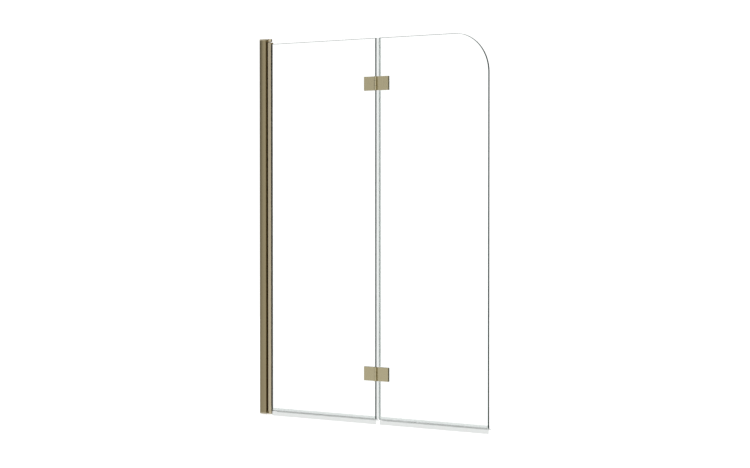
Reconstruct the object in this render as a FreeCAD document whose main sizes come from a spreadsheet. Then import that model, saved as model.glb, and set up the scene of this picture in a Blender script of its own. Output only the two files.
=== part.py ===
import FreeCAD, Part
import os
import re
import Sketcher

# Folding bath screen: wall channel, sliding adjuster, swinging inner panel and folding outer panel.
# Millimetres. X runs from the wall along the screen, Y across the glass with the front at minus Y, Z up.
# The origin is the middle of the channel's wall face.

SIZES = [
    ("screen_width", 1002.5, "wall face to outer edge of the screen"),
    ("screen_height", 1400, "channel with its end caps"),
    ("fit_gap", 0.2, "clearance between pieces that are assembled by hand"),
    ("slide_gap", 0.3, "clearance beside pieces that move"),
    ("running_gap", 0.05, "radial clearance of a pin that turns"),
    ("thread_gap", 0.02, "radial clearance of a screw in its thread or a pin in its press hole"),
    ("cut_overrun", 1, "how far a cut runs past the face it opens"),
    # Wall channel and its end caps
    ("channel_depth", 29.5, "wall face to lips"),
    ("channel_width", 28, "outside at the lips, across the glass"),
    ("channel_crown", 1.4, "bulge of the sides between wall and lips"),
    ("channel_wall", 2.5, "thickness of the sides at the lips"),
    ("channel_back", 2.5, "thickness against the wall"),
    ("channel_edge_radius", 1.2, "round of the edges along the wall"),
    ("cap_thickness", 5, "end cap plate"),
    ("cap_edge_radius", 0.6, "round of the end cap's outer edges"),
    ("cap_spigot_depth", 12, "end cap spigot along the channel"),
    ("cap_spigot_width", 18, "end cap spigot across the channel"),
    ("wall_hole_radius", 2.75, "wall screw hole"),
    ("outer_hole_spacing", 1200, "between the outer two wall screw holes"),
    ("inner_hole_spacing", 400, "between the inner two wall screw holes"),
    ("clamp_screw_radius", 2.5, "grub screw that clamps the adjuster"),
    ("clamp_screw_edge", 4, "grub screw to channel lip"),
    ("clamp_screw_spacing", 550, "between grub screws along the channel"),
    ("clamp_screw_inset", 0.2, "grub screw below the channel's side"),
    ("clamp_socket_radius", 1.45, "hexagon socket of the grub screw, across corners"),
    ("clamp_socket_depth", 1.4, "hexagon socket of the grub screw"),
    # Adjuster profile
    ("adjuster_depth", 22.5, "along the screen"),
    ("adjuster_wall", 1.6, "thickness of the back and sides"),
    ("adjuster_front", 2.6, "thickness of the front"),
    ("adjuster_proud", 0.5, "front in front of the channel's lips"),
    ("adjuster_end_gap", 0.5, "clearance to the end caps"),
    ("post_seal_width", 4, "groove and strip"),
    ("post_seal_depth", 1.4, "groove"),
    ("post_seal_tip", 2, "front of the strip"),
    # Pivot blocks, bushes and pins
    ("head_height", 10, "eye of the pivot block"),
    ("tongue_length", 34, "tongue in the adjuster"),
    ("neck_width", 10, "between tongue and eye"),
    ("pin_radius", 2.5, "stile pivot pin"),
    ("pin_in_stile", 25, "depth of the pin in the stile"),
    ("pin_end_gap", 0.5, "pin to the bottom of its hole"),
    ("bush_wall", 2, "bush sleeve"),
    ("bush_depth", 8, "bush sleeve in the eye"),
    ("flange_radius", 6, "bush flange"),
    ("flange_thickness", 1, "bush flange"),
    ("flange_recess", 0.6, "bush flange sunk in the eye"),
    ("block_screw_radius", 2, "screw into the tongue"),
    ("block_screw_length", 12, "shank under the head"),
    ("block_screw_head_radius", 3.5, "pan head"),
    ("block_screw_head_height", 2.2, "pan head"),
    ("block_screw_first", 18, "first screw to the end of the tongue"),
    ("block_screw_pitch", 8, "between the two screws of a tongue"),
    ("block_socket_radius", 1.7, "hexagon socket, across corners"),
    ("block_socket_depth", 1.3, "hexagon socket"),
    # Stile
    ("stile_stand_off", 0.6, "nose to the adjuster's front"),
    ("stile_nose_radius", 8.8, "nose about the pivot axis"),
    ("stile_width", 16.4, "across the glass"),
    ("stile_reach", 9.4, "pivot axis to the end of the lips"),
    ("stile_lip_radius", 1, "round of the lips' outer edges"),
    ("slot_depth", 4.8, "glass slot"),
    ("stile_top_gap", 3, "stile to the top eye"),
    ("stile_bottom_gap", 0.5, "stile to the bottom eye"),
    ("glazing_thickness", 0.8, "glazing gasket"),
    # Glass panels
    ("glass_thickness", 8, "both panes"),
    ("glass_arris", 1.2, "ground bevel along the edges"),
    ("glass_top_drop", 19, "top of the channel to the top of the glass"),
    ("glass_bottom_rise", 14, "foot of the channel to the foot of the glass"),
    ("corner_radius", 140, "outer top corner"),
    ("fold_from_wall", 533.75, "wall face to the fold axis"),
    ("fold_forward", 16.3, "middle of the glass to the fold axis"),
    ("panel_gap", 17, "between the two panes"),
    # Seals
    ("seal_wall", 1.2, "thickness of the clear seals"),
    ("seal_leg", 9.5, "legs of the bottom seals along the glass"),
    ("upright_leg", 4.2, "legs of the upright seal along the glass"),
    ("seal_room", 0.2, "seal to glass at the root of the legs, whose tips grip the glass"),
    ("fin_drop", 19, "foot of the glass to the tip of the wiping fin"),
    ("fin_lean", 0.5, "forward lean of the wiping fin"),
    ("fin_tip", 0.8, "thickness of the tips of the fin and the drip lip"),
    ("drip_reach", 12, "drip lip out of the back of the seal"),
    ("drip_fall", 6.5, "slope of the drip lip"),
    ("drip_start", 20, "pivot axis to the start of the inner drip lip"),
    ("fin_gap", 0.5, "upright seal's fin to the inner pane"),
    ("seal_cut_gap", 1, "upright seal to the hinges"),
    # Hinges
    ("hinge_inset", 163, "hinge middle to the end of the glass"),
    ("hinge_height", 50, "leaf height"),
    ("leaf_near", 3.4, "fold axis to the near edge of a leaf"),
    ("leaf_width", 49.7, "leaf along the screen"),
    ("leaf_thickness", 8, "leaf plate"),
    ("leaf_edge_radius", 0.7, "round of the leaf's front edges"),
    ("tail_thickness", 3.5, "tail of a leaf behind the barrel"),
    ("tail_gap", 0.3, "tail of a leaf to the fold plane"),
    ("barrel_radius", 4.6, "knuckles"),
    ("centre_knuckle", 17, "middle knuckle"),
    ("knuckle_gap", 0.6, "between knuckles"),
    ("washer_thickness", 0.4, "washer between knuckles"),
    ("washer_edge", 0.5, "washer inside the barrel's outside"),
    ("hinge_pin_radius", 2.5, "hinge pin"),
    ("hinge_pin_inset", 0.5, "pin below the ends of the barrel"),
    ("front_gasket_thickness", 1, "between leaf and glass"),
    ("gasket_inset", 0.5, "gasket inside its plate's edge"),
    ("back_gasket_thickness", 0.5, "between back plate and glass"),
    ("back_plate_width", 31, "along the screen"),
    ("back_plate_height", 40, "upright"),
    ("back_plate_thickness", 4, "across the glass"),
    ("back_edge_radius", 1, "round of the back plate's edges"),
    ("hinge_screw_radius", 2.5, "screw into the leaf"),
    ("hinge_screw_head_radius", 4.6, "countersunk head"),
    ("hinge_screw_spacing", 24, "between the two screws of a leaf"),
    ("hinge_screw_bite", 4.5, "thread in the leaf"),
    ("hinge_socket_radius", 1.7, "hexagon socket, across corners"),
    ("hinge_socket_depth", 2, "hexagon socket"),
    ("glass_hole_radius", 6, "hinge hole in the glass"),
]

# Places worked out from the sizes
PLACES = {
    "top": "screen_height / 2",
    "channel_half": "channel_width / 2",
    "channel_end": "top - cap_thickness",
    "post_face": "channel_depth + adjuster_proud",
    "adjuster_rear": "post_face - adjuster_depth",
    "adjuster_half": "channel_half - channel_wall - slide_gap",
    "adjuster_end": "channel_end - adjuster_end_gap",
    "tongue_rear": "adjuster_rear + adjuster_wall + fit_gap",
    "tongue_front": "post_face - adjuster_front - fit_gap",
    "tongue_half": "adjuster_half - adjuster_wall - fit_gap",
    "eye_face": "top - head_height",
    "bush_bore": "pin_radius + running_gap",
    "bush_outer": "bush_bore + bush_wall",
    "pivot_x": "post_face + stile_stand_off + stile_nose_radius",
    "stile_half": "stile_width / 2",
    "flat_start": "pivot_x - (stile_nose_radius ^ 2 - (stile_half) ^ 2) ^ 0.5",
    "lip_end": "pivot_x + stile_reach",
    "slot_start": "lip_end - slot_depth",
    "glass_half": "glass_thickness / 2",
    "slot_half": "glass_half + glazing_thickness",
    "stile_top": "eye_face - stile_top_gap",
    "stile_foot": "stile_bottom_gap - eye_face",
    "glass_top": "top - glass_top_drop",
    "glass_foot": "glass_bottom_rise - top",
    "inner_start": "slot_start + glazing_thickness",
    "inner_edge": "fold_from_wall - panel_gap / 2",
    "outer_edge": "fold_from_wall + panel_gap / 2",
    "seal_inside": "glass_half + seal_room",
    "seal_half": "seal_inside + seal_wall",
    "seal_floor": "glass_foot - seal_room",
    "seal_base": "seal_floor - seal_wall",
    "leg_end": "outer_edge + upright_leg",
    "upper_hinge": "glass_top - hinge_inset",
    "lower_hinge": "glass_foot + hinge_inset",
    "hinge_half": "hinge_height / 2",
    "leaf_back": "glass_half + front_gasket_thickness",
    "leaf_front": "leaf_back + leaf_thickness",
    "back_plate_face": "glass_half + back_gasket_thickness",
    "back_plate_out": "back_plate_face + back_plate_thickness",
    "hinge_hole_from_fold": "leaf_near + leaf_width / 2",
    "hinge_hole_radius": "hinge_screw_radius + fit_gap",
    "washer_middle": "centre_knuckle / 2 + knuckle_gap / 2",
}

HINGES = {"upper": "upper_hinge", "lower": "lower_hinge"}
# Which way each leaf lies from the fold axis, and the clearance of its bore on the hinge pin
LEAVES = {"inner": ("-1", "thread_gap"), "outer": ("1", "running_gap")}
ENDS = {"top": "1", "bottom": "-1"}
BOTH_SIDES = ("-1", "1")
HEXAGON = 6
# Edges this close to a level lie on it
SAME_LEVEL = 0.00001
TO_FRONT = FreeCAD.Rotation(FreeCAD.Vector(1, 0, 0), 90)
TO_SCREEN = FreeCAD.Rotation(FreeCAD.Vector(0, 1, 0), 90)

doc = FreeCAD.newDocument("bath_screen")
sheet = doc.addObject("Spreadsheet::Sheet", "size")
for row, (alias, value, meaning) in enumerate(SIZES, start=1):
    sheet.set(f"A{row}", meaning)
    sheet.set(f"B{row}", str(value))
    sheet.setAlias(f"B{row}", alias)
doc.recompute()

nodes = []


# Formulas

def formula(text):
    """A formula of named sizes and places, written out in the sheet's cells."""
    def cell(match):
        word = match.group()
        return f"({formula(PLACES[word])})" if word in PLACES else f"size.{word}"
    return re.sub(r"[a-z_]+", cell, text)


def value_of(text):
    return float(sheet.evalExpression(formula(text).replace("size.", "")))


def bind(thing, setting, text):
    thing.setExpression(setting, formula(text))


# Sketches and features of a body

def new_body(label):
    body = doc.addObject("PartDesign::Body", label)
    body.Label = label
    nodes.append(body)
    return body


def new_sketch(body, role, level="0"):
    """A sketch on one of the body's origin planes, raised along the plane's normal."""
    sketch = body.newObject("Sketcher::SketchObject", f"{body.Label}_sketch")
    plane = next(item for item in body.Origin.OriginFeatures if item.Role == role)
    sketch.AttachmentSupport = [(plane, "")]
    sketch.MapMode = "FlatFace"
    bind(sketch, "AttachmentOffset.Base.z", level)
    return sketch


def hold(sketch, kind, item, end, text):
    """Hold a coordinate of a sketch point, or leave it on the axis where the formula is zero."""
    if text == "0":
        axis = -2 if kind == "DistanceX" else -1
        sketch.addConstraint(Sketcher.Constraint("PointOnObject", item, end, axis))
        return
    rule = sketch.addConstraint(Sketcher.Constraint(kind, -1, 1, item, end, value_of(text)))
    bind(sketch, f"Constraints[{rule}]", text)


def draw_circle(sketch, x, y, radius):
    centre = FreeCAD.Vector(value_of(x), value_of(y), 0)
    item = sketch.addGeometry(Part.Circle(centre, FreeCAD.Vector(0, 0, 1), value_of(radius)))
    hold(sketch, "DistanceX", item, 3, x)
    hold(sketch, "DistanceY", item, 3, y)
    rule = sketch.addConstraint(Sketcher.Constraint("Radius", item, value_of(radius)))
    bind(sketch, f"Constraints[{rule}]", radius)


def draw_arc(sketch, start, end, centre, leftward):
    """An arc between two corners, with its ends numbered as the sketch numbers them."""
    first, last = (start, end) if leftward else (end, start)
    angles = [(point - centre).getAngle(FreeCAD.Vector(1, 0, 0)) for point in (first, last)]
    if first.y < centre.y:
        angles[0] = -angles[0]
    if last.y < centre.y:
        angles[1] = -angles[1]
    circle = Part.Circle(centre, FreeCAD.Vector(0, 0, 1), (first - centre).Length)
    item = sketch.addGeometry(Part.ArcOfCircle(circle, angles[0], angles[1]))
    return (item, 1, 2) if leftward else (item, 2, 1)


def draw_outline(sketch, corners):
    """A closed outline of corners: (x, y), or (x, y, centre x, centre y, side) where an arc leads to it."""
    points = [FreeCAD.Vector(value_of(corner[0]), value_of(corner[1]), 0) for corner in corners]
    pieces = []
    for index, corner in enumerate(corners):
        start, end = points[index - 1], points[index]
        if len(corner) == 2:
            pieces.append((sketch.addGeometry(Part.LineSegment(start, end)), 1, 2))
            continue
        centre = FreeCAD.Vector(value_of(corner[2]), value_of(corner[3]), 0)
        pieces.append(draw_arc(sketch, start, end, centre, corner[4] == "left"))
    for index, corner in enumerate(corners):
        before, after = pieces[index], pieces[(index + 1) % len(pieces)]
        sketch.addConstraint(Sketcher.Constraint("Coincident", before[0], before[2], after[0], after[1]))
        hold(sketch, "DistanceX", before[0], before[2], corner[0])
        hold(sketch, "DistanceY", before[0], before[2], corner[1])
        if len(corner) > 2:
            chord = points[index] - points[index - 1]
            upright = abs(chord.y) >= abs(chord.x)
            kind, middle = ("DistanceX", corner[2]) if upright else ("DistanceY", corner[3])
            hold(sketch, kind, before[0], 3, middle)


def draw_rectangle(sketch, left, right, low, high):
    draw_outline(sketch, [(left, low), (right, low), (right, high), (left, high)])


def add_pad(body, sketch, length, reverse=False, symmetric=False):
    pad = body.newObject("PartDesign::Pad", f"{body.Label}_pad")
    pad.Profile = sketch
    bind(pad, "Length", length)
    pad.Reversed = reverse
    if symmetric:
        pad.SideType = "Symmetric"
    doc.recompute()
    return pad


def add_pocket(body, sketch, length=None, reverse=False, symmetric=False):
    """Cut a sketch out of the body, right through if no length is given, and see that it cut something."""
    before = body.Tip.Shape.Volume
    pocket = body.newObject("PartDesign::Pocket", f"{body.Label}_pocket")
    pocket.Profile = sketch
    if length is None:
        pocket.Type = "ThroughAll"
    else:
        bind(pocket, "Length", length)
    pocket.Reversed = reverse
    if symmetric:
        pocket.SideType = "Symmetric"
    doc.recompute()
    if pocket.Shape.isNull() or pocket.Shape.Volume >= before:
        raise RuntimeError(f"a pocket of {body.Label} cuts nothing")
    return pocket


def dress_edges(body, kind, setting, size, wanted):
    """Round or bevel the edges of the body's last feature that the test picks."""
    base = body.Tip
    picked = [f"Edge{number}" for number, edge in enumerate(base.Shape.Edges, start=1) if wanted(edge)]
    dressed = body.newObject(f"PartDesign::{kind}", f"{body.Label}_{kind.lower()}")
    dressed.Base = (base, picked)
    bind(dressed, setting, size)
    doc.recompute()
    return dressed


def lies_at(edge, axis, level):
    """Whether a whole edge lies at one level along an axis."""
    box = edge.BoundBox
    low, high = {"y": (box.YMin, box.YMax), "z": (box.ZMin, box.ZMax)}[axis]
    return max(abs(low - level), abs(high - level)) < SAME_LEVEL


def is_hole(edge):
    return edge.isClosed()


# Pieces made from primitives

def place(thing, x, y, z, turn=FreeCAD.Rotation()):
    thing.Placement = FreeCAD.Placement(FreeCAD.Vector(), turn)
    for axis, text in zip("xyz", (x, y, z)):
        bind(thing, f"Placement.Base.{axis}", text)


def new_cylinder(name, radius, height, level="0"):
    cylinder = doc.addObject("Part::Cylinder", name)
    bind(cylinder, "Radius", radius)
    bind(cylinder, "Height", height)
    bind(cylinder, "Placement.Base.z", level)
    return cylinder


def new_screw(name, shank, length, socket, socket_depth, head=None, head_height=None, taper=False):
    """A screw along Z with the outside of its head at zero, and a hexagon socket there."""
    solids = [new_cylinder(f"{name}_shank", shank, length)]
    if head:
        cone = doc.addObject("Part::Cone", f"{name}_head")
        bind(cone, "Radius1", head)
        bind(cone, "Radius2", shank if taper else head)
        bind(cone, "Height", head_height)
        solids.append(cone)
    hexagon = doc.addObject("Part::Prism", f"{name}_socket")
    hexagon.Polygon = HEXAGON
    bind(hexagon, "Circumradius", socket)
    bind(hexagon, "Height", f"{socket_depth} + cut_overrun")
    bind(hexagon, "Placement.Base.z", "-cut_overrun")
    whole = solids[0]
    if head:
        whole = doc.addObject("Part::MultiFuse", f"{name}_whole")
        whole.Shapes = solids
    screw = doc.addObject("Part::Cut", name)
    screw.Base = whole
    screw.Tool = hexagon
    return screw


def new_group(label, members):
    group = doc.addObject("Part::Compound", label)
    group.Label = label
    group.Links = members
    nodes.append(group)
    return group


# Wall channel

def channel_outline(sketch, hollow):
    """The channel's section with crowned sides: either a U or the plate that closes its end."""
    flat = "channel_half - channel_edge_radius"
    inside = "channel_half - channel_wall"
    side_middle = "(channel_depth + channel_edge_radius) / 2"
    side_span = "(channel_depth - channel_edge_radius)"
    side_radius = f"({side_span} ^ 2 / (8 * channel_crown) + channel_crown / 2)"
    side_centre = f"channel_half + channel_crown - {side_radius}"
    mouth = [
        ("channel_depth", f"-({inside})"),
        ("channel_back", f"-({inside})"),
        ("channel_back", inside),
        ("channel_depth", inside),
    ]
    draw_outline(sketch, [
        ("channel_edge_radius", "-channel_half", "channel_edge_radius", f"-({flat})", "left"),
        ("channel_depth", "-channel_half", side_middle, f"-({side_centre})", "left"),
        *(mouth if hollow else []),
        ("channel_depth", "channel_half"),
        ("channel_edge_radius", "channel_half", side_middle, side_centre, "left"),
        ("0", flat, "channel_edge_radius", flat, "left"),
        ("0", f"-({flat})"),
    ])


def make_channel():
    body = new_body("wall_channel")
    section = new_sketch(body, "XY_Plane")
    channel_outline(section, True)
    add_pad(body, section, "2 * (channel_end)", symmetric=True)
    wall_holes = new_sketch(body, "YZ_Plane")
    for spacing in ("outer_hole_spacing", "inner_hole_spacing"):
        for side in BOTH_SIDES:
            draw_circle(wall_holes, "0", f"{side} * {spacing} / 2", "wall_hole_radius")
    add_pocket(body, wall_holes, symmetric=True)
    clamp_holes = new_sketch(body, "XZ_Plane")
    for step in ("-1", "0", "1"):
        level = f"{step} * clamp_screw_spacing" if step != "0" else "0"
        draw_circle(clamp_holes, "channel_depth - clamp_screw_edge", level,
                    "clamp_screw_radius + thread_gap")
    add_pocket(body, clamp_holes)


def make_cap(end, way):
    body = new_body(f"channel_{end}_cap")
    plate = new_sketch(body, "XY_Plane", f"{way} * channel_end")
    channel_outline(plate, False)
    add_pad(body, plate, "cap_thickness", reverse=way == "-1")
    outside = value_of(f"{way} * top")
    dress_edges(body, "Fillet", "Radius", "cap_edge_radius", lambda edge: lies_at(edge, "z", outside))
    spigot = new_sketch(body, "XY_Plane", f"{way} * channel_end")
    draw_rectangle(spigot, "channel_back + fit_gap", "adjuster_rear - fit_gap",
                   "-cap_spigot_width / 2", "cap_spigot_width / 2")
    add_pad(body, spigot, "cap_spigot_depth", reverse=way == "1")


def make_clamp_screws():
    members = []
    for step in ("-1", "0", "1"):
        screw = new_screw(f"clamp_screw_{len(members)}", "clamp_screw_radius",
                          "channel_half - clamp_screw_inset - adjuster_half",
                          "clamp_socket_radius", "clamp_socket_depth")
        place(screw, "channel_depth - clamp_screw_edge", "channel_half - clamp_screw_inset",
              f"{step} * clamp_screw_spacing", TO_FRONT)
        members.append(screw)
    new_group("adjuster_clamp_screws", members)


# Adjuster and what it carries

def make_adjuster():
    body = new_body("adjuster_profile")
    section = new_sketch(body, "XY_Plane")
    groove = "post_seal_width / 2"
    draw_outline(section, [
        ("adjuster_rear", "-adjuster_half"),
        ("post_face", "-adjuster_half"),
        ("post_face", f"-{groove}"),
        ("post_face - post_seal_depth", f"-{groove}"),
        ("post_face - post_seal_depth", groove),
        ("post_face", groove),
        ("post_face", "adjuster_half"),
        ("adjuster_rear", "adjuster_half"),
    ])
    draw_rectangle(section, "adjuster_rear + adjuster_wall", "post_face - adjuster_front",
                   "-(adjuster_half - adjuster_wall)", "adjuster_half - adjuster_wall")
    add_pad(body, section, "2 * (adjuster_end)", symmetric=True)
    notches = new_sketch(body, "YZ_Plane", "post_face")
    reach = "neck_width / 2 + fit_gap"
    draw_rectangle(notches, f"-({reach})", reach, "eye_face - fit_gap", "adjuster_end + cut_overrun")
    draw_rectangle(notches, f"-({reach})", reach, "-adjuster_end - cut_overrun", "fit_gap - eye_face")
    add_pocket(body, notches, "adjuster_front + cut_overrun")
    holes = new_sketch(body, "YZ_Plane", "adjuster_rear")
    for way in ENDS.values():
        for level in screw_levels(way):
            draw_circle(holes, "0", level, "block_screw_radius + fit_gap")
    add_pocket(body, holes, "adjuster_wall + cut_overrun", reverse=True)


def screw_levels(way):
    """Heights of the two screws in one end's tongue."""
    first = f"{way} * (adjuster_end - block_screw_first)"
    return [first, f"{first} - {way} * block_screw_pitch"]


def make_pivot_block(end, way):
    body = new_body(f"{end}_pivot_block")
    inward = way == "1"
    tongue = new_sketch(body, "XY_Plane", f"{way} * adjuster_end")
    draw_rectangle(tongue, "tongue_rear", "tongue_front", "-tongue_half", "tongue_half")
    add_pad(body, tongue, "tongue_length", reverse=inward)
    neck = new_sketch(body, "XY_Plane", f"{way} * eye_face")
    draw_rectangle(neck, "tongue_front - cut_overrun", "pivot_x", "-neck_width / 2", "neck_width / 2")
    add_pad(body, neck, "adjuster_end - eye_face", reverse=not inward)
    eye = new_sketch(body, "XY_Plane", f"{way} * eye_face")
    draw_circle(eye, "pivot_x", "0", "stile_half")
    add_pad(body, eye, "head_height", reverse=not inward)
    outside = value_of(f"{way} * top")
    dress_edges(body, "Fillet", "Radius", "cap_edge_radius", lambda edge: lies_at(edge, "z", outside))
    for radius, depth in (("bush_outer + thread_gap", "bush_depth + fit_gap"),
                          ("flange_radius + fit_gap", "flange_recess")):
        seat = new_sketch(body, "XY_Plane", f"{way} * eye_face")
        draw_circle(seat, "pivot_x", "0", radius)
        add_pocket(body, seat, depth, reverse=inward)
    holes = new_sketch(body, "YZ_Plane", "tongue_rear")
    for level in screw_levels(way):
        draw_circle(holes, "0", level, "block_screw_radius + thread_gap")
    add_pocket(body, holes, "block_screw_length", reverse=True)


def make_pivot_bush(end, way):
    body = new_body(f"{end}_pivot_bush")
    inward = way == "1"
    seat = f"{way} * (eye_face + flange_recess)"
    for radius, length, reverse in (("bush_outer", "bush_depth - flange_recess", not inward),
                                    ("flange_radius", "flange_thickness", inward)):
        ring = new_sketch(body, "XY_Plane", seat)
        draw_circle(ring, "pivot_x", "0", radius)
        draw_circle(ring, "pivot_x", "0", "bush_bore")
        add_pad(body, ring, length, reverse=reverse)


def make_pivot_pin(end, way, stile_end):
    """A pin from inside the stile's bore up or down into the bush."""
    far = "eye_face + bush_depth - pin_end_gap"
    near = f"{way} * ({stile_end}) - pin_in_stile"
    pin = new_cylinder(f"{end}_pivot_pin", "pin_radius", f"{far} - ({near})")
    pin.Label = pin.Name
    place(pin, "pivot_x", "0", near if way == "1" else f"-({far})")
    nodes.append(pin)


def make_block_screws():
    members = []
    for way in ENDS.values():
        for level in screw_levels(way):
            screw = new_screw(f"block_screw_{len(members)}", "block_screw_radius",
                              "block_screw_length + block_screw_head_height",
                              "block_socket_radius", "block_socket_depth",
                              "block_screw_head_radius", "block_screw_head_height")
            place(screw, "adjuster_rear - block_screw_head_height", "0", level, TO_SCREEN)
            members.append(screw)
    new_group("pivot_block_screws", members)


def make_post_seal():
    """A strip with a narrow front, seated in the adjuster's groove and just clear of the stile's nose."""
    body = new_body("post_seal")
    section = new_sketch(body, "XY_Plane")
    half = "post_seal_width / 2"
    tip = "post_seal_tip / 2"
    rear = "post_face - post_seal_depth"
    front = "post_face + stile_stand_off - slide_gap"
    draw_outline(section, [
        (rear, f"-{half}"),
        ("post_face", f"-{half}"),
        (front, f"-{tip}"),
        (front, tip),
        ("post_face", half),
        (rear, half),
    ])
    add_pad(body, section, "2 * (eye_face - neck_width / 2)", symmetric=True)


# Stile and inner panel

def make_stile():
    body = new_body("stile")
    section = new_sketch(body, "XY_Plane", "stile_foot")
    round_x = "lip_end - stile_lip_radius"
    round_y = "stile_half - stile_lip_radius"
    draw_outline(section, [
        ("flat_start", "-stile_half", "pivot_x", "0", "left"),
        (round_x, "-stile_half"),
        ("lip_end", f"-({round_y})", round_x, f"-({round_y})", "left"),
        ("lip_end", "-slot_half"),
        ("slot_start", "-slot_half"),
        ("slot_start", "slot_half"),
        ("lip_end", "slot_half"),
        ("lip_end", round_y),
        (round_x, "stile_half", round_x, round_y, "left"),
        ("flat_start", "stile_half"),
    ])
    draw_circle(section, "pivot_x", "0", "pin_radius + thread_gap")
    add_pad(body, section, "stile_top - stile_foot")


def make_glazing():
    body = new_body("glazing_gasket")
    section = new_sketch(body, "XY_Plane", "glass_foot")
    draw_outline(section, [
        ("slot_start", "-slot_half"),
        ("lip_end", "-slot_half"),
        ("lip_end", "-glass_half"),
        ("inner_start", "-glass_half"),
        ("inner_start", "glass_half"),
        ("lip_end", "glass_half"),
        ("lip_end", "slot_half"),
        ("slot_start", "slot_half"),
    ])
    add_pad(body, section, "glass_top - glass_foot")


def make_glass(label, corners, way):
    """A pane with ground edges and the hinge holes of one leaf at each hinge."""
    body = new_body(label)
    face = new_sketch(body, "XZ_Plane")
    draw_outline(face, corners)
    for hinge in HINGES.values():
        for side in BOTH_SIDES:
            draw_circle(face, f"fold_from_wall + {way} * hinge_hole_from_fold",
                        f"{hinge} + {side} * hinge_screw_spacing / 2", "glass_hole_radius")
    add_pad(body, face, "glass_thickness", symmetric=True)
    levels = [value_of(f"{side} * glass_half") for side in BOTH_SIDES]
    dress_edges(body, "Chamfer", "Size", "glass_arris",
                lambda edge: not is_hole(edge) and any(lies_at(edge, "y", level) for level in levels))


def make_inner_glass():
    make_glass("inner_glass", [
        ("inner_start", "glass_foot"),
        ("inner_edge", "glass_foot"),
        ("inner_edge", "glass_top"),
        ("inner_start", "glass_top"),
    ], LEAVES["inner"][0])


def make_outer_glass():
    arc_x = "screen_width - corner_radius"
    arc_z = "glass_top - corner_radius"
    make_glass("outer_glass", [
        ("outer_edge", "glass_foot"),
        ("screen_width", "glass_foot"),
        ("screen_width", arc_z),
        (arc_x, "glass_top", arc_x, arc_z, "left"),
        ("outer_edge", "glass_top"),
    ], LEAVES["outer"][0])


# Clear seals

def make_bottom_seal(label, start, end, leg_start, drip_start):
    """A U along the foot of the glass with a wiping fin below it and a sloping drip lip behind."""
    body = new_body(label)
    section = new_sketch(body, "YZ_Plane", start)
    leg_top = "glass_foot + seal_leg"
    tip = "glass_foot - fin_drop"
    draw_outline(section, [
        ("-(seal_half)", leg_top),
        ("-(seal_half)", "seal_base"),
        ("-seal_wall / 2", "seal_base"),
        ("-fin_lean - fin_tip / 2", tip),
        ("-fin_lean + fin_tip / 2", tip),
        ("seal_wall / 2", "seal_base"),
        ("seal_half", "seal_base"),
        ("seal_half", leg_top),
        ("glass_half", leg_top),
        ("seal_inside", "seal_floor"),
        ("-(seal_inside)", "seal_floor"),
        ("-glass_half", leg_top),
    ])
    add_pad(body, section, f"{end} - ({start})")
    drip = new_sketch(body, "YZ_Plane", drip_start)
    draw_outline(drip, [
        ("seal_half", "seal_base"),
        ("seal_half + drip_reach", "seal_base - drip_fall"),
        ("seal_half + drip_reach", "seal_base - drip_fall + fin_tip"),
        ("seal_half", "seal_floor"),
    ])
    add_pad(body, drip, f"{end} - ({drip_start})")
    if leg_start != start:
        notch = new_sketch(body, "YZ_Plane", start)
        draw_rectangle(notch, "-(seal_half) - cut_overrun", "seal_half + cut_overrun",
                       "seal_floor", f"{leg_top} + cut_overrun")
        add_pocket(body, notch, f"{leg_start} - ({start})", reverse=True)


def make_upright_seal(name, foot, head):
    """One length of the upright seal: a U on the outer pane's edge with a fin towards the inner pane."""
    body = new_body(f"vertical_seal_{name}")
    section = new_sketch(body, "XY_Plane", foot)
    fin = "seal_wall / 2"
    root = "outer_edge - seal_room"
    back = f"{root} - seal_wall"
    tip = "inner_edge + fin_gap"
    draw_outline(section, [
        (tip, f"-{fin}"),
        (back, f"-{fin}"),
        (back, "-(seal_half)"),
        ("leg_end", "-(seal_half)"),
        ("leg_end", "-glass_half"),
        (root, "-(seal_inside)"),
        (root, "seal_inside"),
        ("leg_end", "glass_half"),
        ("leg_end", "seal_half"),
        (back, "seal_half"),
        (back, fin),
        (tip, fin),
    ])
    add_pad(body, section, f"{head} - ({foot})")


def make_upright_seals():
    clear = "hinge_half + seal_cut_gap"
    make_upright_seal("bottom", "glass_foot", f"lower_hinge - ({clear})")
    make_upright_seal("middle", f"lower_hinge + {clear}", f"upper_hinge - ({clear})")
    make_upright_seal("top", f"upper_hinge + {clear}", "glass_top")


# Glass hinges. Each piece is drawn about the hinge's middle height and then raised to its hinge.

def raise_to(thing, hinge):
    bind(thing, "Placement.Base.z", HINGES[hinge])


def draw_screw_holes(sketch, way, radius):
    for side in BOTH_SIDES:
        draw_circle(sketch, f"fold_from_wall + {way} * hinge_hole_from_fold",
                    f"{side} * hinge_screw_spacing / 2", radius)


def add_knuckle(body, way, level, height, reverse=False, symmetric=False):
    """A knuckle with the web behind it that joins it to its leaf."""
    web = new_sketch(body, "XY_Plane", level)
    draw_rectangle(web, f"fold_from_wall + {way} * tail_gap",
                   f"fold_from_wall + {way} * (leaf_near + leaf_edge_radius)",
                   "barrel_radius / 2 - fold_forward", "-leaf_back - tail_thickness / 2")
    add_pad(body, web, height, reverse, symmetric)
    barrel = new_sketch(body, "XY_Plane", level)
    draw_circle(barrel, "fold_from_wall", "-fold_forward", "barrel_radius")
    add_pad(body, barrel, height, reverse, symmetric)


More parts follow.
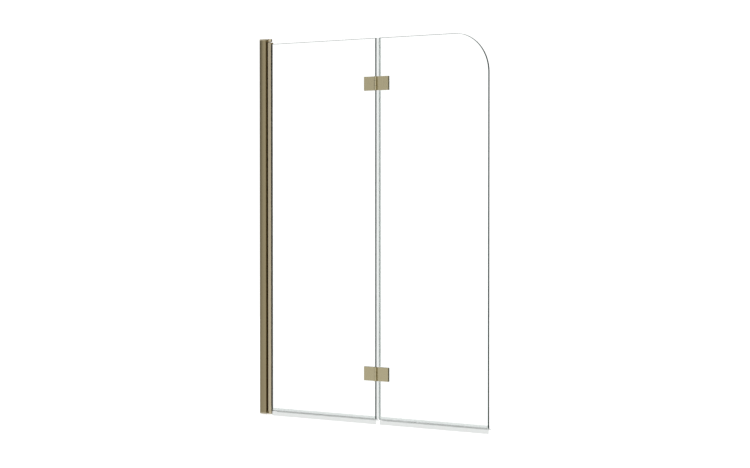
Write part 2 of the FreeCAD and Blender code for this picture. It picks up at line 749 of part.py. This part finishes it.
def make_leaf(hinge, leaf):
    way, bore_gap = LEAVES[leaf]
    body = new_body(f"{hinge}_{leaf}_leaf")
    near = f"fold_from_wall + {way} * leaf_near"
    far = f"fold_from_wall + {way} * (leaf_near + leaf_width)"
    plate = new_sketch(body, "XZ_Plane", "leaf_back")
    draw_rectangle(plate, near, far, "-hinge_half", "hinge_half")
    add_pad(body, plate, "leaf_thickness")
    front = value_of("-leaf_front")
    dress_edges(body, "Fillet", "Radius", "leaf_edge_radius", lambda edge: lies_at(edge, "y", front))
    tail = new_sketch(body, "XZ_Plane", "leaf_back")
    draw_rectangle(tail, f"fold_from_wall + {way} * tail_gap", near, "-hinge_half", "hinge_half")
    add_pad(body, tail, "tail_thickness")
    if leaf == "inner":
        add_knuckle(body, way, "0", "centre_knuckle", symmetric=True)
    else:
        start = "centre_knuckle / 2 + knuckle_gap"
        for side in BOTH_SIDES:
            add_knuckle(body, way, f"{side} * ({start})", f"hinge_half - ({start})", reverse=side == "-1")
    bore = new_sketch(body, "XY_Plane")
    draw_circle(bore, "fold_from_wall", "-fold_forward", f"hinge_pin_radius + {bore_gap}")
    add_pocket(body, bore, symmetric=True)
    threads = new_sketch(body, "XZ_Plane", "leaf_back")
    draw_screw_holes(threads, way, "hinge_screw_radius + thread_gap")
    add_pocket(body, threads, "hinge_screw_bite + pin_end_gap", reverse=True)
    raise_to(body, hinge)


def make_holed_plate(hinge, leaf, name, width, height, level, thickness, radius):
    """A plate about the middle of a leaf with its two screw holes, from a level towards the back."""
    way = LEAVES[leaf][0]
    body = new_body(f"{hinge}_{leaf}_{name}")
    middle = f"fold_from_wall + {way} * hinge_hole_from_fold"
    face = new_sketch(body, "XZ_Plane", level)
    draw_rectangle(face, f"{middle} - ({width}) / 2", f"{middle} + ({width}) / 2",
                   f"-({height}) / 2", f"({height}) / 2")
    draw_screw_holes(face, way, radius)
    add_pad(body, face, thickness, reverse=True)
    raise_to(body, hinge)
    return body


def make_back_plate(hinge, leaf):
    body = make_holed_plate(hinge, leaf, "back_plate", "back_plate_width", "back_plate_height",
                            "-back_plate_face", "back_plate_thickness", "hinge_hole_radius")
    outside = value_of("back_plate_out")
    dress_edges(body, "Fillet", "Radius", "back_edge_radius",
                lambda edge: not is_hole(edge) and lies_at(edge, "y", outside))
    dress_edges(body, "Chamfer", "Size", "hinge_screw_head_radius - hinge_screw_radius",
                lambda edge: is_hole(edge) and lies_at(edge, "y", outside))


def make_gaskets(hinge, leaf):
    make_holed_plate(hinge, leaf, "front_gasket", "leaf_width - 2 * gasket_inset",
                     "hinge_height - 2 * gasket_inset", "leaf_back", "front_gasket_thickness",
                     "hinge_hole_radius")
    make_holed_plate(hinge, leaf, "back_gasket", "back_plate_width - 2 * gasket_inset",
                     "back_plate_height - 2 * gasket_inset", "-glass_half", "back_gasket_thickness",
                     "hinge_hole_radius")


def make_sleeves(hinge, leaf):
    body = new_body(f"{hinge}_{leaf}_sleeves")
    rings = new_sketch(body, "XZ_Plane")
    draw_screw_holes(rings, LEAVES[leaf][0], "glass_hole_radius - fit_gap")
    draw_screw_holes(rings, LEAVES[leaf][0], "hinge_hole_radius")
    add_pad(body, rings, "glass_thickness", symmetric=True)
    raise_to(body, hinge)


def make_hinge_screws(hinge, leaf):
    members = []
    for side in BOTH_SIDES:
        screw = new_screw(f"{hinge}_{leaf}_screw_{len(members)}", "hinge_screw_radius",
                          "back_plate_out + leaf_back + hinge_screw_bite",
                          "hinge_socket_radius", "hinge_socket_depth", "hinge_screw_head_radius",
                          "hinge_screw_head_radius - hinge_screw_radius", taper=True)
        place(screw, f"fold_from_wall + {LEAVES[leaf][0]} * hinge_hole_from_fold", "back_plate_out",
              f"{side} * hinge_screw_spacing / 2", TO_FRONT)
        members.append(screw)
    raise_to(new_group(f"{hinge}_{leaf}_screws", members), hinge)


def make_hinge_pin(hinge):
    pin = new_cylinder(f"{hinge}_hinge_pin", "hinge_pin_radius", "hinge_height - 2 * hinge_pin_inset")
    pin.Label = pin.Name
    place(pin, "fold_from_wall", "-fold_forward", f"{HINGES[hinge]} - hinge_half + hinge_pin_inset")
    nodes.append(pin)


def make_washers(hinge):
    body = new_body(f"{hinge}_knuckle_washers")
    for side in BOTH_SIDES:
        ring = new_sketch(body, "XY_Plane", f"{side} * washer_middle - washer_thickness / 2")
        draw_circle(ring, "fold_from_wall", "-fold_forward", "barrel_radius - washer_edge")
        draw_circle(ring, "fold_from_wall", "-fold_forward", "hinge_pin_radius + running_gap")
        add_pad(body, ring, "washer_thickness")
    raise_to(body, hinge)


# Build every piece

make_channel()
make_clamp_screws()
make_adjuster()
make_block_screws()
make_post_seal()
for end, way in ENDS.items():
    make_cap(end, way)
    make_pivot_block(end, way)
    make_pivot_bush(end, way)
make_stile()
make_pivot_pin("top", ENDS["top"], "stile_top")
make_pivot_pin("bottom", ENDS["bottom"], "stile_foot")
make_glazing()
make_inner_glass()
make_outer_glass()
make_bottom_seal("inner_bottom_seal", "lip_end + slide_gap", "inner_edge", "lip_end + slide_gap",
                 "pivot_x + drip_start")
make_bottom_seal("outer_bottom_seal", "outer_edge", "screen_width", "leg_end + slide_gap", "outer_edge")
make_upright_seals()
for hinge in HINGES:
    make_hinge_pin(hinge)
    make_washers(hinge)
    for leaf in LEAVES:
        make_leaf(hinge, leaf)
        make_back_plate(hinge, leaf)
        make_gaskets(hinge, leaf)
        make_sleeves(hinge, leaf)
        make_hinge_screws(hinge, leaf)
doc.recompute()

# Check every piece, then write it
for thing in doc.Objects:
    if any(state in ("Invalid", "Error") for state in thing.State):
        raise RuntimeError(f"{thing.Label} failed")
for node in nodes:
    if node.Shape.isNull() or not node.Shape.isValid() or not node.Shape.Solids:
        raise RuntimeError(f"{node.Label} has no valid shape")
os.makedirs("parts", exist_ok=True)
for node in nodes:
    node.Shape.exportStep(f"parts/{node.Label}.step")
    print(f"{node.Label}: {len(node.Shape.Solids)} solids, {node.Shape.Volume:.1f} cubic mm")
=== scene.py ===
import math

import bpy
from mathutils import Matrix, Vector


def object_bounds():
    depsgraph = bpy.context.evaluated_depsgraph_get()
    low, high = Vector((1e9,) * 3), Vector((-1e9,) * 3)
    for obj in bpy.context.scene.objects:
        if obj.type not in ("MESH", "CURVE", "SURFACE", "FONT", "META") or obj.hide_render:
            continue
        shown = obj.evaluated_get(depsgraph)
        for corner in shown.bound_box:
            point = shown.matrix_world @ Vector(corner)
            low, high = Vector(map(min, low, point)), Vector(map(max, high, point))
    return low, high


# Folding bath screen: the finish of every piece, a white studio and the camera. Metres.
# X runs from the wall along the screen, Y across the glass with the front at minus Y, and Z up.

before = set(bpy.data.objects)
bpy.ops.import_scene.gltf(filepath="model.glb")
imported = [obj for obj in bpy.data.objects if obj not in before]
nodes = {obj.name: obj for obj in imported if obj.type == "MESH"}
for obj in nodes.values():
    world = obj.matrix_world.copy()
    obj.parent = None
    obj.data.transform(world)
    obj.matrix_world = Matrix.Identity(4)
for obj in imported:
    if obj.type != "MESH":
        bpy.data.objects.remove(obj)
cad_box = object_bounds()

# Colours, as linear red, green and blue
CHANNEL_BRONZE = (0.300, 0.252, 0.150)
STILE_BRONZE = (0.530, 0.462, 0.325)
HINGE_BRONZE = (0.453, 0.403, 0.256)
CAP_BRONZE = (0.330, 0.290, 0.195)
PANE_FACE = (0.995, 1.000, 0.998)
# Pane edges: partly the glass's own green seen edge-on, partly painted shade; the inner pane's edge at the
# hinge is painted lighter than the outer pane's free edge
OUTER_EDGE_PAINTED_SHADE = (0.0024, 0.0085, 0.0065)
INNER_EDGE_PAINTED_SHADE = (0.018, 0.030, 0.025)
GLASS_DEPTH = (0.55, 0.78, 0.70)
UPRIGHT_PVC = (0.760, 0.785, 0.775)
LEG_PVC = (0.830, 0.845, 0.840)
SOFT_PVC = (0.695, 0.710, 0.702)
BLACK_NYLON = (0.020, 0.019, 0.018)
GREY_RUBBER = (0.045, 0.045, 0.045)
STAINLESS = (0.560, 0.545, 0.520)
WHITE = (1.0, 1.0, 1.0)
FLOOR_WHITE = (0.40, 0.40, 0.40)

OPAQUE = 1.0
HALF = 0.5


# Node helpers

def rgba(colour):
    return (*colour, OPAQUE)


def add_node(tree, kind, **settings):
    node = tree.nodes.new(kind)
    for name, value in settings.items():
        setattr(node, name, value)
    return node


def link(tree, output, target):
    tree.links.new(output, target)


def new_material(name):
    """A material with its node tree and its shader."""
    material = bpy.data.materials.new(name)
    material.use_nodes = True
    return material, material.node_tree, material.node_tree.nodes["Principled BSDF"]


def ranged(tree, value, low, high):
    """A value from 0 to 1, moved to the range from low to high."""
    node = add_node(tree, "ShaderNodeMapRange")
    link(tree, value, node.inputs["Value"])
    node.inputs["To Min"].default_value = low
    node.inputs["To Max"].default_value = high
    return node.outputs["Result"]


def mixed(tree, share, first, second):
    """A colour from first to second as share goes from 0 to 1."""
    node = add_node(tree, "ShaderNodeMix", data_type="RGBA")
    link(tree, share, node.inputs["Factor"])
    node.inputs["A"].default_value = rgba(first)
    node.inputs["B"].default_value = rgba(second)
    return node.outputs["Result"]


def worked_out(tree, operation, first, second):
    """The sum, product or other result of two values."""
    node = add_node(tree, "ShaderNodeMath", operation=operation)
    link(tree, first, node.inputs[0])
    link(tree, second, node.inputs[1])
    return node.outputs["Value"]


def multiplied(tree, first, second):
    return worked_out(tree, "MULTIPLY", first, second)


def larger(tree, first, second):
    return worked_out(tree, "MAXIMUM", first, second)


def compared(tree, value, operation, limit):
    """1 where the value lies on the wanted side of a limit, and 0 elsewhere."""
    node = add_node(tree, "ShaderNodeMath", operation=operation)
    node.inputs[1].default_value = limit
    link(tree, value, node.inputs[0])
    return node.outputs["Value"]


def streaks(tree, scales, detail):
    """Noise in the piece's own metres, drawn out along the axis with the smallest scale."""
    place = add_node(tree, "ShaderNodeTexCoord")
    stretch = add_node(tree, "ShaderNodeMapping")
    stretch.inputs["Scale"].default_value = scales
    noise = add_node(tree, "ShaderNodeTexNoise")
    noise.inputs["Scale"].default_value = 1.0
    noise.inputs["Detail"].default_value = detail
    link(tree, place.outputs["Object"], stretch.inputs["Vector"])
    link(tree, stretch.outputs["Vector"], noise.inputs["Vector"])
    return noise.outputs["Fac"]


def add_bump(tree, shader, height, strength, depth):
    bump = add_node(tree, "ShaderNodeBump")
    bump.inputs["Strength"].default_value = strength
    bump.inputs["Distance"].default_value = depth
    link(tree, height, bump.inputs["Height"])
    link(tree, bump.outputs["Normal"], shader.inputs["Normal"])


def shaded(colour, share):
    return tuple(part * share for part in colour)


# Materials

BRUSH_ACROSS = 1600
BRUSH_ALONG = 14
BRUSH_DETAIL = 5
BRUSH_DARK_SHARE = 0.92
BRUSH_LIGHT_SHARE = 1.08
BRUSH_SPREAD = 0.06
BRUSH_BUMP = 0.12
BRUSH_DEPTH = 0.00004
UPRIGHT_BRUSH = (BRUSH_ACROSS, BRUSH_ACROSS, BRUSH_ALONG)


def brushed_metal(name, colour, roughness):
    """Metal brushed upright: fine streaks in its colour, its gloss and its surface."""
    material, tree, shader = new_material(name)
    streak = streaks(tree, UPRIGHT_BRUSH, BRUSH_DETAIL)
    link(tree, mixed(tree, streak, shaded(colour, BRUSH_DARK_SHARE), shaded(colour, BRUSH_LIGHT_SHARE)),
         shader.inputs["Base Color"])
    link(tree, ranged(tree, streak, roughness - BRUSH_SPREAD, roughness + BRUSH_SPREAD),
         shader.inputs["Roughness"])
    shader.inputs["Metallic"].default_value = 1.0
    add_bump(tree, shader, streak, BRUSH_BUMP, BRUSH_DEPTH)
    return material


GRAIN_SCALE = 900
GRAIN_DETAIL = 3
GRAIN_BUMP = 0.15
GRAIN_DEPTH = 0.00005
GRAIN_SPREAD = 0.05


def moulded(name, colour, roughness):
    """Moulded plastic or rubber with a fine even grain."""
    material, tree, shader = new_material(name)
    grain = streaks(tree, (GRAIN_SCALE, GRAIN_SCALE, GRAIN_SCALE), GRAIN_DETAIL)
    link(tree, mixed(tree, grain, shaded(colour, BRUSH_DARK_SHARE), shaded(colour, BRUSH_LIGHT_SHARE)),
         shader.inputs["Base Color"])
    link(tree, ranged(tree, grain, roughness - GRAIN_SPREAD, roughness + GRAIN_SPREAD),
         shader.inputs["Roughness"])
    add_bump(tree, shader, grain, GRAIN_BUMP, GRAIN_DEPTH)
    return material


GLASS_IOR = 1.52
GLASS_DENSITY = 6.0
EDGE_ROUGHNESS = 0.30
HIDDEN_EDGE_ROUGHNESS = 0.02
# How far a face may lean from the pane's own face before it counts as its edge. Edges towards the wall
# and the bath sit in a seal or a slot, are left pale without the painted edge shade, and polished.
FACE_LEAN = 0.9


def pane_glass(name, edge_shade_colour):
    """Clear toughened glass: polished faces, satin ground edges, dark partly from the glass's own green and
    partly from painted shade, and a green depth.
    """
    material, tree, shader = new_material(name)
    surface = add_node(tree, "ShaderNodeNewGeometry")
    own = add_node(tree, "ShaderNodeVectorTransform", vector_type="NORMAL", convert_from="WORLD",
                   convert_to="OBJECT")
    parts = add_node(tree, "ShaderNodeSeparateXYZ")
    across = add_node(tree, "ShaderNodeMath", operation="ABSOLUTE")
    link(tree, surface.outputs["True Normal"], own.inputs["Vector"])
    link(tree, own.outputs["Vector"], parts.inputs["Vector"])
    link(tree, parts.outputs["Y"], across.inputs[0])
    edge = compared(tree, across.outputs["Value"], "LESS_THAN", FACE_LEAN)
    off_wall = compared(tree, parts.outputs["X"], "GREATER_THAN", -HALF)
    off_foot = compared(tree, parts.outputs["Z"], "GREATER_THAN", -HALF)
    open_edge = multiplied(tree, off_wall, off_foot)
    # Open edges take the dark edge colour, painted shade over the glass's own green
    painted_edge_shade = multiplied(tree, edge, open_edge)
    link(tree, mixed(tree, painted_edge_shade, PANE_FACE, edge_shade_colour), shader.inputs["Base Color"])
    satin = ranged(tree, open_edge, HIDDEN_EDGE_ROUGHNESS, EDGE_ROUGHNESS)
    link(tree, multiplied(tree, edge, satin), shader.inputs["Roughness"])
    shader.inputs["Transmission Weight"].default_value = 1.0
    shader.inputs["IOR"].default_value = GLASS_IOR
    depth = add_node(tree, "ShaderNodeVolumeAbsorption")
    depth.inputs["Color"].default_value = rgba(GLASS_DEPTH)
    depth.inputs["Density"].default_value = GLASS_DENSITY
    link(tree, depth.outputs["Volume"], tree.nodes["Material Output"].inputs["Volume"])
    return material


PVC_IOR = 1.12
PVC_ROUGHNESS = 0.25
PVC_SPREAD = 0.04
DRAW_ACROSS = 700
DRAW_ALONG = 6
PANE_FOOT = min(corner[2] for corner in nodes["inner_glass"].bound_box)


def clear_pvc(name, scales, colour, soft_colour):
    """Clear plastic with faint lines along the way it was drawn, softer and milkier under the panes."""
    material, tree, shader = new_material(name)
    lines = streaks(tree, scales, GRAIN_DETAIL)
    parts = add_node(tree, "ShaderNodeSeparateXYZ")
    link(tree, add_node(tree, "ShaderNodeTexCoord").outputs["Object"], parts.inputs["Vector"])
    soft = compared(tree, parts.outputs["Z"], "LESS_THAN", PANE_FOOT)
    link(tree, mixed(tree, soft, colour, soft_colour), shader.inputs["Base Color"])
    link(tree, ranged(tree, lines, PVC_ROUGHNESS - PVC_SPREAD, PVC_ROUGHNESS + PVC_SPREAD),
         shader.inputs["Roughness"])
    shader.inputs["Transmission Weight"].default_value = 1.0
    shader.inputs["IOR"].default_value = PVC_IOR
    return material


CHANNEL_ROUGHNESS = 0.30
STILE_ROUGHNESS = 0.28
HINGE_ROUGHNESS = 0.26
STEEL_ROUGHNESS = 0.22
CAP_ROUGHNESS = 0.35
NYLON_ROUGHNESS = 0.45
RUBBER_ROUGHNESS = 0.60


def dress():
    """Gives each piece the finish that its name calls for."""
    profile = brushed_metal("channel_bronze", CHANNEL_BRONZE, CHANNEL_ROUGHNESS)
    stile = brushed_metal("stile_bronze", STILE_BRONZE, STILE_ROUGHNESS)
    hinge = brushed_metal("hinge_bronze", HINGE_BRONZE, HINGE_ROUGHNESS)
    steel = brushed_metal("stainless_steel", STAINLESS, STEEL_ROUGHNESS)
    cap = moulded("cap_bronze", CAP_BRONZE, CAP_ROUGHNESS)
    nylon = moulded("black_nylon", BLACK_NYLON, NYLON_ROUGHNESS)
    rubber = moulded("grey_rubber", GREY_RUBBER, RUBBER_ROUGHNESS)
    # The two panes differ only in the painted shade on their open edges
    inner_glass = pane_glass("inner_pane_glass", INNER_EDGE_PAINTED_SHADE)
    outer_glass = pane_glass("outer_pane_glass", OUTER_EDGE_PAINTED_SHADE)
    upright_pvc = clear_pvc("upright_pvc", (DRAW_ACROSS, DRAW_ACROSS, DRAW_ALONG), UPRIGHT_PVC, UPRIGHT_PVC)
    level_pvc = clear_pvc("level_pvc", (DRAW_ALONG, DRAW_ACROSS, DRAW_ACROSS), LEG_PVC, SOFT_PVC)
    finishes = [
        ("inner_glass", inner_glass),
        ("outer_glass", outer_glass),
        ("_screws", steel),
        ("_pin", steel),
        ("gasket", rubber),
        ("post_seal", rubber),
        ("_bush", nylon),
        ("sleeves", nylon),
        ("washers", nylon),
        ("bottom_seal", level_pvc),
        ("vertical_seal", upright_pvc),
        ("_leaf", hinge),
        ("back_plate", hinge),
        ("pivot_block", stile),
        ("_cap", cap),
        ("stile", stile),
        ("", profile),
    ]
    for name, piece in nodes.items():
        finish = next(material for word, material in finishes if word in name)
        piece.data.materials.clear()
        piece.data.materials.append(finish)


# Studio

FLOOR_RADIUS = 6.0
FLOOR_CORNERS = 96
FLOOR_GLOW = 0.75
OVERHEAD_LIGHT = 1.7
SIDE_LIGHT = 1.0
SEEN_LIGHT = 1.12
# A pane has two faces to pass, so light that passes more has come through a clear seal as well
FEW_LAYERS = 3.5
# Dark screens around the studio: where each stands, how dark it is, the cosines between which it fades
# round about, and the heights between which it fades upwards
DARK_SCREENS = [
    ((0.581, 0.813, 0.0), 0.12, 0.55, 0.90, -1.2, -1.0),
    ((-0.980, 0.200, 0.0), 0.04, 0.34, 0.72, -0.15, 0.05),
]
OVERHEAD_START = 0.25
OVERHEAD_FULL = 0.70


def faded(tree, value, start, full, first, second):
    """Goes smoothly from first to second as value goes from start to full."""
    node = add_node(tree, "ShaderNodeMapRange", interpolation_type="SMOOTHSTEP")
    link(tree, value, node.inputs["Value"])
    for name, number in (("From Min", start), ("From Max", full), ("To Min", first), ("To Max", second)):
        node.inputs[name].default_value = number
    return node.outputs["Result"]


def light_studio():
    """Soft white light all round, brighter overhead, with dark screens that the metal reflects."""
    world = bpy.data.worlds.new("studio")
    bpy.context.scene.world = world
    world.use_nodes = True
    tree = world.node_tree
    background = tree.nodes["Background"]
    way = add_node(tree, "ShaderNodeTexCoord").outputs["Generated"]
    parts = add_node(tree, "ShaderNodeSeparateXYZ")
    link(tree, way, parts.inputs["Vector"])
    light = faded(tree, parts.outputs["Z"], OVERHEAD_START, OVERHEAD_FULL, SIDE_LIGHT, OVERHEAD_LIGHT)
    for direction, darkness, start, full, low, high in DARK_SCREENS:
        towards = add_node(tree, "ShaderNodeVectorMath", operation="DOT_PRODUCT")
        towards.inputs[1].default_value = direction
        link(tree, way, towards.inputs[0])
        around = faded(tree, towards.outputs["Value"], start, full, 0.0, 1.0)
        screen = multiplied(tree, around, faded(tree, parts.outputs["Z"], low, high, 0.0, 1.0))
        light = multiplied(tree, light, ranged(tree, screen, 1.0, darkness))
    path = add_node(tree, "ShaderNodeLightPath")
    direct = compared(tree, path.outputs["Glossy Depth"], "LESS_THAN", HALF)
    layered = compared(tree, path.outputs["Transmission Depth"], "GREATER_THAN", FEW_LAYERS)
    through = multiplied(tree, path.outputs["Is Transmission Ray"], larger(tree, direct, layered))
    strength = add_node(tree, "ShaderNodeMix", data_type="FLOAT")
    link(tree, larger(tree, path.outputs["Is Camera Ray"], through), strength.inputs["Factor"])
    link(tree, light, strength.inputs["A"])
    strength.inputs["B"].default_value = SEEN_LIGHT
    link(tree, strength.outputs["Result"], background.inputs["Strength"])
    background.inputs["Color"].default_value = rgba(WHITE)


def lay_floor():
    """A plain pale floor under the foot of the seals, which the metal doesn't reflect."""
    low, high = cad_box
    bpy.ops.mesh.primitive_circle_add(
        vertices=FLOOR_CORNERS, radius=FLOOR_RADIUS, fill_type="NGON",
        location=((low[0] + high[0]) / 2, (low[1] + high[1]) / 2, low[2]))
    floor = bpy.context.object
    floor.name = "floor"
    material, _, shader = new_material("floor_white")
    shader.inputs["Base Color"].default_value = rgba(FLOOR_WHITE)
    shader.inputs["Emission Color"].default_value = rgba(WHITE)
    shader.inputs["Emission Strength"].default_value = FLOOR_GLOW
    shader.inputs["Roughness"].default_value = 1.0
    shader.inputs["Specular IOR Level"].default_value = 0.0
    floor.data.materials.append(material)
    floor.visible_glossy = False
    floor.visible_transmission = False


# Camera, at the place and angle of the photograph's

PHOTO_WIDTH_PIXELS = 750
FOCAL_PIXELS = 1883.3
SENSOR_WIDTH_MM = 36.0
CAMERA_PLACE = (4.4495, -5.498, 0.117)
CAMERA_TURN = math.radians(35.55)
CAMERA_DIP = math.radians(1.17)


def place_camera():
    camera = bpy.data.cameras.new("camera")
    camera.sensor_width = SENSOR_WIDTH_MM
    camera.lens = SENSOR_WIDTH_MM * FOCAL_PIXELS / PHOTO_WIDTH_PIXELS
    stand = bpy.data.objects.new("camera", camera)
    stand.location = CAMERA_PLACE
    stand.rotation_euler = (math.pi / 2 - CAMERA_DIP, 0.0, CAMERA_TURN)
    bpy.context.scene.collection.objects.link(stand)
    bpy.context.scene.camera = stand


dress()
light_studio()
lay_floor()
place_camera()
bpy.context.scene.view_settings.view_transform = "Standard"
